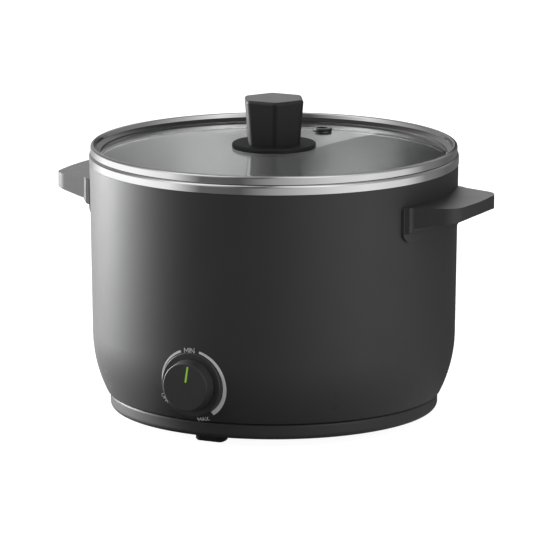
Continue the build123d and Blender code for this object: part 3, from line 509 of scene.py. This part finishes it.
# %% [markdown]
# ## The heat scale
# The scale is pad-printed on the drum round the dial's raised seat: two arcs that grow
# with the heat, and three plain words. Ink is thinner than a hair, so each mark is a
# ribbon laid on the drum's skin. A mark is first drawn flat, as seen from the front,
# and then every point is pushed back along Y until it lies on the drum, whose radius at
# each height is known from the same few dimensions as the CAD drum. An image on the drum
# would be as sharp as its pixels, while ribbons stay crisp at any distance.

# %% The drum's skin
DRUM_RADIUS, DRUM_TOP, DRUM_DRAFT = 0.130, 0.181, math.radians(0.8)
BELLY_HEIGHT, BELLY_ARC = 0.060, 0.095
DIAL_HEIGHT = 0.0456
INK_LIFT = 0.04 * MM
# The arc is followed almost to where it would lie level
STEEPEST = 0.999


def drum_radius_at(z):
    """Drum radius at height z: a straight drafted wall above the belly, an arc tangent to it below."""
    wall = DRUM_RADIUS - (DRUM_TOP - z) * math.tan(DRUM_DRAFT)
    belly = DRUM_RADIUS - (DRUM_TOP - BELLY_HEIGHT) * math.tan(DRUM_DRAFT)
    sine = np.clip((BELLY_HEIGHT - z) / BELLY_ARC + math.sin(DRUM_DRAFT), 0, STEEPEST)
    curve = belly - BELLY_ARC * (math.cos(DRUM_DRAFT) - np.sqrt(1 - sine**2))
    return np.where(z >= BELLY_HEIGHT, wall, curve)


def ink(name, grids):
    """Lays flat grids of (x, z) points on the drum's front: y is minus the half chord at each point."""
    corners, faces, start = [], [], 0
    for x, z in grids:
        y = -np.sqrt(drum_radius_at(z) ** 2 - x**2) - INK_LIFT
        corners.append(np.stack([x, y, z], -1).reshape(-1, 3))
        rows, columns = x.shape
        index = start + np.arange(rows * columns).reshape(rows, columns)
        quads = np.stack([index[:-1, :-1], index[:-1, 1:], index[1:, 1:], index[1:, :-1]], -1)
        faces.append(quads.reshape(-1, 4))
        start += rows * columns
    piece = new_piece(name, np.concatenate(corners), np.concatenate(faces), white_ink)
    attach(piece, "base")


# Pad-print ink: an even, slightly dull pale grey
white_ink = moulded_plastic(
    "pad_print_ink_pale_grey", ("#d2d2d2", "#dcdcdc"), rough=0.5, grain_mm=0.4, grain_depth=0.1
)
print("drum radius at the dial:", round(float(drum_radius_at(DIAL_HEIGHT)) / MM, 1), "mm")

# %% [markdown]
# ## Two arcs
# Each arc is a ribbon along a circle round the dial. Both get wider towards more heat,
# which tells the way to turn without a word. A ring cut from the drum's mesh would follow
# its triangles. A ribbon needs only an angle and a place across its width.

# %% The two arcs
RING = 24.1 * MM
OUT_TO_IN = np.array([[1.0, 0.0, -1.0]])


def arc_ribbon(first, last, radius, width_first, width_last, steps=72):
    """Ribbon on a circle: the angle runs clockwise from the top, the width changes evenly along it."""
    turn = np.radians(np.linspace(first, last, steps))[:, None]
    half = np.linspace(width_first, width_last, steps)[:, None] / 2
    r = radius + half * OUT_TO_IN
    return r * np.sin(turn), DIAL_HEIGHT + r * np.cos(turn)


hot_arc = arc_ribbon(first=15, last=149, radius=RING, width_first=1.7 * MM, width_last=3.0 * MM)
mild_arc = arc_ribbon(first=-105, last=-19, radius=RING, width_first=0.5 * MM, width_last=1.7 * MM)
ink("heat_scale_arcs", [hot_arc, mild_arc])

# %% [markdown]
# ## Three words in strokes
# The letters are single strokes of even width. Each letter is a few lines in a box one
# unit high, and a stroke is a ribbon as wide as the pen along each line, a little longer
# than the line so that corners close. A text object would give a font's outlines, which
# have too few points inside to bend with the drum.

# %% The words
STROKES = {
    "M": (0.95, [[(0, 0), (0, 1)], [(0, 1), (0.5, 0.3)], [(0.5, 0.3), (1, 1)], [(1, 1), (1, 0)]]),
    "I": (0.08, [[(0.5, 0), (0.5, 1)]]),
    "N": (0.78, [[(0, 0), (0, 1)], [(0, 1), (1, 0)], [(1, 0), (1, 1)]]),
    "A": (0.85, [[(0, 0), (0.5, 1)], [(0.5, 1), (1, 0)], [(0.19, 0.34), (0.81, 0.34)]]),
    "X": (0.78, [[(0, 0), (1, 1)], [(0, 1), (1, 0)]]),
    "F": (0.6, [[(0, 0), (0, 1)], [(0, 1), (1, 1)], [(0, 0.52), (0.85, 0.52)]]),
}
ROUND_O = [(0.5 + 0.5 * math.cos(a), 0.5 + 0.5 * math.sin(a)) for a in np.linspace(0, 2 * math.pi, 25)]
STROKES["O"] = (0.9, [list(pair) for pair in zip(ROUND_O, ROUND_O[1:])])
PEN = 0.45 * MM
OVERRUN = 0.4 * PEN


def word(text, angle, radius, height, gap, tops_inward):
    """Strokes of a word centred on a circle at a clockwise angle: each point is middle + along + up."""
    turn = math.radians(angle)
    outward = np.array([math.sin(turn), math.cos(turn)])
    along = np.array([math.cos(turn), -math.sin(turn)]) * (-1 if tops_inward else 1)
    up = -outward if tops_inward else outward
    middle = np.array([0, DIAL_HEIGHT]) + radius * outward
    total = sum(STROKES[c][0] * height for c in text) + gap * (len(text) - 1)
    cursor, ribbons = -total / 2, []
    for letter in text:
        width, lines = STROKES[letter]
        for start, end in np.array(lines, float):
            a, b = [np.array([cursor + p[0] * width * height, (p[1] - 0.5) * height]) for p in (start, end)]
            run = (b - a) / np.linalg.norm(b - a)
            side = np.array([-run[1], run[0]]) * PEN / 2
            a, b = a - run * OVERRUN, b + run * OVERRUN
            flat = np.array([[a + side, a - side], [b + side, b - side]])
            spread = middle + flat[..., :1] * along + flat[..., 1:] * up
            ribbons.append((spread[..., 0], spread[..., 1]))
        cursor += width * height + gap
    return ribbons


least = word("MIN", angle=-3, radius=RING, height=3.2 * MM, gap=0.9 * MM, tops_inward=False)
most = word("MAX", angle=170, radius=26.2 * MM, height=2.7 * MM, gap=0.75 * MM, tops_inward=True)
off = word("OFF", angle=-119, radius=27.0 * MM, height=2.8 * MM, gap=0.7 * MM, tops_inward=True)
ink("heat_scale_words", least + most + off)

# %% [markdown]
# ## The studio in reflections
# The eye sees a plain white table and background. What the shiny surfaces mirror is the
# studio: a bright wall on the left, another on the right, and a darker room between them.
# A plan lists how bright the studio is in each compass direction, in degrees from the
# eye's own direction. The floor, the room and the ceiling have a plan each. Real
# screens could stand round the table, but a list is quicker to change and has no edges to
# keep out of the picture.

# %% Studio plans
FLOOR_PLAN = [
    (-180, 0.4), (-150, 0.6), (-128, 1.5), (-90, 1.5), (-65, 1.2), (-44, 0.18), (-20, 0.13), (0, 0.45),
    (36, 0.95), (56, 1.1), (85, 0.9), (103, 0.3), (130, 0.16), (180, 0.16),
]
ROOM_PLAN = [
    (-180, 0.35), (-150, 0.3), (-120, 0.3), (-92, 0.5), (-66, 1.0), (-45, 0.5), (-24, 0.1), (-8, 0.1),
    (12, 0.5), (36, 1.0), (62, 0.6), (92, 0.3), (150, 0.2), (172, 0.05), (180, 0.05),
]
CEILING_PLAN = [
    (-180, 0.5), (-150, 0.3), (-125, 0.2), (-95, 0.6), (-66, 1.6), (-45, 0.8), (-24, 0.15), (-8, 0.15),
    (12, 0.8), (36, 1.5), (60, 0.8), (95, 0.3), (140, 0.3), (160, 0.5), (180, 0.5),
]
EYE_FRONT = (math.sin(AZIMUTH), -math.cos(AZIMUTH), 0.0)


def studio_glow(tree, ray, plan, lean=0.0, shift=0.0):
    """Brightness by bearing: atan2 of the parts of a ray to the eye's right and front, read off a ramp."""
    across = tuple(eye_right[:2]) + (lean,)
    right = add(tree, "VectorMath", {1: across}, {0: ray}, operation="DOT_PRODUCT")
    moved = add(tree, "Math", {1: shift}, {0: right.outputs["Value"]}, operation="SUBTRACT")
    front = add(tree, "VectorMath", {1: EYE_FRONT}, {0: ray}, operation="DOT_PRODUCT")
    sides = {0: moved.outputs["Value"], 1: front.outputs["Value"]}
    turn = add(tree, "Math", links=sides, operation="ARCTAN2")
    whole_turn = {"From Min": -math.pi, "From Max": math.pi}
    share = add(tree, "MapRange", whole_turn, {"Value": turn.outputs["Value"]})
    ramp = add(tree, "ValToRGB", links={"Fac": share.outputs["Result"]})
    stops = ramp.color_ramp.elements
    for degrees, level in plan[1:-1]:
        stops.new((degrees + 180) / 360).color = (level, level, level, 1)
    for end in (0, -1):
        stops[end].color = (plan[end][1],) * 3 + (1,)
    return ramp.outputs["Color"]


def seen_by_eye(tree, path):
    """1 for a ray from the eye, also through glass, as long as nothing has mirrored it on the way."""
    direct = add(tree, "Math", {1: 0.5}, {0: path.outputs["Glossy Depth"]}, operation="LESS_THAN")
    passed = {0: path.outputs["Is Transmission Ray"], 1: direct.outputs["Value"]}
    through = add(tree, "Math", links=passed, operation="MULTIPLY")
    either = {0: path.outputs["Is Camera Ray"], 1: through.outputs["Value"]}
    return add(tree, "Math", links=either, operation="MAXIMUM").outputs["Value"]


print("stops in the plans:", len(FLOOR_PLAN), len(ROOM_PLAN), len(CEILING_PLAN))

# %% [markdown]
# ## The floor
# The cooker stands on a plain table. The eye sees it as white with a faint shadow. A
# mirroring surface sees the floor's plan instead, darker near the cooker, where its own
# bulk keeps the light away. A white table under strong lamps would overlight the cooker,
# so a light of its own makes the table white, and only for the eye.

# %% The floor
FLOOR_HALF = 30
FLOOR_GREY, FLOOR_WHITE = "#8c8c8c", 0.95
NEAR_COOKER = {"From Min": 0.12, "From Max": 0.36, "To Min": 0.4, "To Max": 1.0}

floor_mesh = bpy.data.meshes.new("floor")
floor_corners = [(-FLOOR_HALF, -FLOOR_HALF, 0), (FLOOR_HALF, -FLOOR_HALF, 0)]
floor_corners += [(FLOOR_HALF, FLOOR_HALF, 0), (-FLOOR_HALF, FLOOR_HALF, 0)]
floor_mesh.from_pydata(floor_corners, [], [(0, 1, 2, 3)])
floor = bpy.data.objects.new("floor", floor_mesh)
bpy.context.scene.collection.objects.link(floor)

floor_paint, tree, shader = new_finish("white_table", Base_Color=linear(FLOOR_GREY), Roughness=0.9)
path = add(tree, "LightPath")
white = add(tree, "Emission", {"Strength": FLOOR_WHITE})
lit = add(tree, "AddShader", links={0: white.outputs["Emission"], 1: shader.outputs["BSDF"]})
place = add(tree, "TexCoord").outputs["Object"]
reach = add(tree, "VectorMath", links={0: place}, operation="LENGTH")
shade = add(tree, "MapRange", NEAR_COOKER, {"Value": reach.outputs["Value"]})
plan_light = {"Color": studio_glow(tree, place, FLOOR_PLAN), "Strength": shade.outputs["Result"]}
glow = add(tree, "Emission", links=plan_light)
gloss_links = {"Fac": path.outputs["Is Glossy Ray"], 1: shader.outputs["BSDF"], 2: glow.outputs["Emission"]}
for_gloss = add(tree, "MixShader", links=gloss_links)
eye_links = {"Fac": seen_by_eye(tree, path), 1: for_gloss.outputs["Shader"], 2: lit.outputs["Shader"]}
for_eye = add(tree, "MixShader", links=eye_links)
tree.links.new(for_eye.outputs["Shader"], tree.nodes["Material Output"].inputs["Surface"])
floor_mesh.materials.append(floor_paint)
print("floor", 2 * FLOOR_HALF, "m wide")

# %% [markdown]
# ## The room
# Behind the cooker a lighter wall meets a dark one in an upright edge that leans a little.
# The lid's glass mirrors it as the slanting line beside the knob. The eye itself, and a ray
# that has passed straight through the glass, see a white room. A picture of a studio
# wrapped round the scene would serve as well, but its edges couldn't be moved one by one.

# %% The world
EDGE_LEAN, EDGE_SHIFT = 0.2465, 0.0577
CEILING_RISE = {"From Min": 0.25, "From Max": 0.45}

world = bpy.data.worlds.new("studio")
world.use_nodes = True
bpy.context.scene.world = world
tree = world.node_tree
ray = add(tree, "TexCoord").outputs["Generated"]
path = add(tree, "LightPath")
height = add(tree, "SeparateXYZ", links={"Vector": ray}).outputs["Z"]
room = studio_glow(tree, ray, ROOM_PLAN, EDGE_LEAN, EDGE_SHIFT)
ceiling = studio_glow(tree, ray, CEILING_PLAN)
rise = add(tree, "MapRange", CEILING_RISE, {"Value": height})
around = add(tree, "Mix", links={"Factor": rise.outputs["Result"], "A": room, "B": ceiling}, data_type="RGBA")
print("room and ceiling meet at sines", CEILING_RISE["From Min"], "to", CEILING_RISE["From Max"])

# %% [markdown]
# ## Light inside the pot
# A covered pot is dim inside: light has to cross the glass, is mirrored by the wall and
# has to cross the glass again. The much brighter plan made here is a cheat for the picture
# and not how light behaves. Rays that have been through the glass twice and were mirrored
# once see it, so that the streaks on the wall show. It fades out towards steep rays, which
# would otherwise make the pot's floor too bright from above. A lamp in the pot would be
# simpler, but it could show in the glass.

# %% Light inside the pot
INSIDE_PLAN = [
    (-180, 5.0), (-150, 3.0), (-122, 2.0), (-95, 8.0), (-80, 20.0), (-66, 24.0), (-55, 20.0), (-40, 11.0),
    (-26, 4.0), (-8, 1.0), (8, 2.0), (22, 18.0), (36, 24.0), (50, 18.0), (66, 10.0), (92, 6.0), (180, 5.0),
]
STEEP_FADE = {"From Min": 0.45, "From Max": 0.7, "To Min": 1.0, "To Max": 0.0}
# Each crossing of the glass counts its two surfaces, so two crossings count four
TWO_CROSSINGS = 3.5

inside = studio_glow(tree, ray, INSIDE_PLAN)
once = add(tree, "Math", {1: 1.0, 2: 0.5}, {0: path.outputs["Glossy Depth"]}, operation="COMPARE")
through_depth = path.outputs["Transmission Depth"]
twice_through = add(tree, "Math", {1: TWO_CROSSINGS}, {0: through_depth}, operation="GREATER_THAN")
both = {0: once.outputs["Value"], 1: twice_through.outputs["Value"]}
off_wall = add(tree, "Math", links=both, operation="MULTIPLY")
low = add(tree, "MapRange", STEEP_FADE, {"Value": height})
low_off_wall = {0: off_wall.outputs["Value"], 1: low.outputs["Result"]}
from_pot = add(tree, "Math", links=low_off_wall, operation="MULTIPLY")
choice = {"Factor": from_pot.outputs["Value"], "A": around.outputs["Result"], "B": inside}
level = add(tree, "Mix", links=choice, data_type="RGBA")
to_eye = {"Factor": seen_by_eye(tree, path), "A": level.outputs["Result"]}
colour = add(tree, "Mix", {"B": linear("#ffffff")}, to_eye, data_type="RGBA")
tree.links.new(colour.outputs["Result"], tree.nodes["Background"].inputs["Color"])
print("brightest inside the pot:", max(level for _, level in INSIDE_PLAN), "times white")

# %% [markdown]
# ## The lamps
# Area lamps stand for the softboxes. Their power is worked out from the brightness
# that their faces should have: power is pi times area times brightness. A narrow strong
# one on the left draws the long highlight down the drum, one behind catches the tops of
# the knob and the handles, and a weak one lifts the right side. Shining planes would also
# do, but lamps usually give less noise.

# %% Softboxes
LAMP_AIM = Vector((0, 0, 0.1))


def softbox(name, bearing, elevation, distance, size, brightness):
    """An area lamp facing the cooker's middle, at a bearing from the eye's own direction."""
    out = direction(AZIMUTH + math.radians(bearing), math.radians(elevation))
    lamp = bpy.data.lights.new(name, "AREA")
    lamp.shape = "RECTANGLE"
    lamp.size, lamp.size_y = size
    lamp.energy = math.pi * size[0] * size[1] * brightness
    holder = bpy.data.objects.new(name, lamp)
    holder.location = LAMP_AIM + distance * out
    holder.rotation_mode = "QUATERNION"
    holder.rotation_quaternion = (-out).to_track_quat("-Z", "Y")
    holder.visible_camera = False
    bpy.context.scene.collection.objects.link(holder)
    print(name, round(lamp.energy, 1), "W")
    return holder


lamps = [
    softbox("softbox_left", bearing=-116, elevation=6, distance=1.2, size=(0.36, 0.9), brightness=46.0),
    softbox("softbox_back", bearing=180, elevation=30, distance=1.4, size=(0.8, 0.4), brightness=4.0),
    softbox("softbox_right", bearing=52, elevation=16, distance=1.2, size=(0.5, 0.8), brightness=1.6),
]

# %% [markdown]
# ## What the lamps light
# A polished rim would mirror each lamp as a hard white patch. Blender's light linking
# keeps the lamps for the other pieces: the polished steel, the glass and the flange under
# the knob show the room's plans instead, and the rest gets the lamps as well. Larger, weaker
# lamps would soften the patches too, but the drum's highlight would spread with them.

# %% Light linking
LIT_BY_ROOM_ONLY = ("lid_rim_turned", "inner_pot_turned", "lid_glass", "lid_knob_base")
lit_by_lamps = bpy.data.collections.new("lit_by_lamps")
for piece in bpy.context.scene.objects:
    if piece.type == "MESH" and piece.name not in LIT_BY_ROOM_ONLY:
        lit_by_lamps.objects.link(piece)
for lamp in lamps:
    lamp.light_linking.receiver_collection = lit_by_lamps

# %% [markdown]
# ## The picture
# The picture is shown without any film look.

# %% Picture settings
bpy.context.scene.view_settings.view_transform = "Standard"
